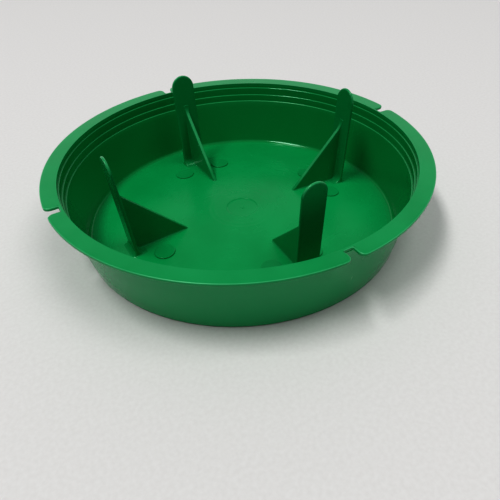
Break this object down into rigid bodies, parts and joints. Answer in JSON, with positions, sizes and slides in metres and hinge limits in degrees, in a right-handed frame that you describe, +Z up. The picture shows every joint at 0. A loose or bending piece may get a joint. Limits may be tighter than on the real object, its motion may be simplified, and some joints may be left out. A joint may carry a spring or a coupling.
{
  "type": "wasp trap dish",
  "caption": "Shallow round moulded dish of a wasp trap, with a flat notched rim, fine ledges inside its mouth and flat posts braced by gussets.",
  "frame": {"origin": "centre of the ring that the dish rests on, on the surface it stands on", "axes": "+Z up out of the dish's mouth along its axis; the posts and the rim notches lie on the X and Y axes"},
  "size_m": [0.1598, 0.1598, 0.047],
  "materials": {
    "green_plastic": "satin moulded plastic, green"
  },
  "bodies": {
    "root": {"dish_floor": "green_plastic", "resting_corner": "green_plastic", "side_wall": "green_plastic", "lower_ledge_ring": "green_plastic", "middle_ledge_ring": "green_plastic", "upper_ledge_ring": "green_plastic", "rim_flange": "green_plastic", "centre_ring": "green_plastic", "centre_disc": "green_plastic", "gate_stub": "green_plastic", "post_blade_1": "green_plastic", "post_gusset_1": "green_plastic", "post_blade_2": "green_plastic", "post_gusset_2": "green_plastic", "post_blade_3": "green_plastic", "post_gusset_3": "green_plastic", "post_blade_4": "green_plastic", "post_gusset_4": "green_plastic", "ejector_pad_1": "green_plastic", "ejector_pad_2": "green_plastic", "ejector_pad_3": "green_plastic", "ejector_pad_4": "green_plastic", "ejector_pad_5": "green_plastic", "ejector_pad_6": "green_plastic", "ejector_pad_7": "green_plastic", "ejector_pad_8": "green_plastic"}
  },
  "joints": []
}
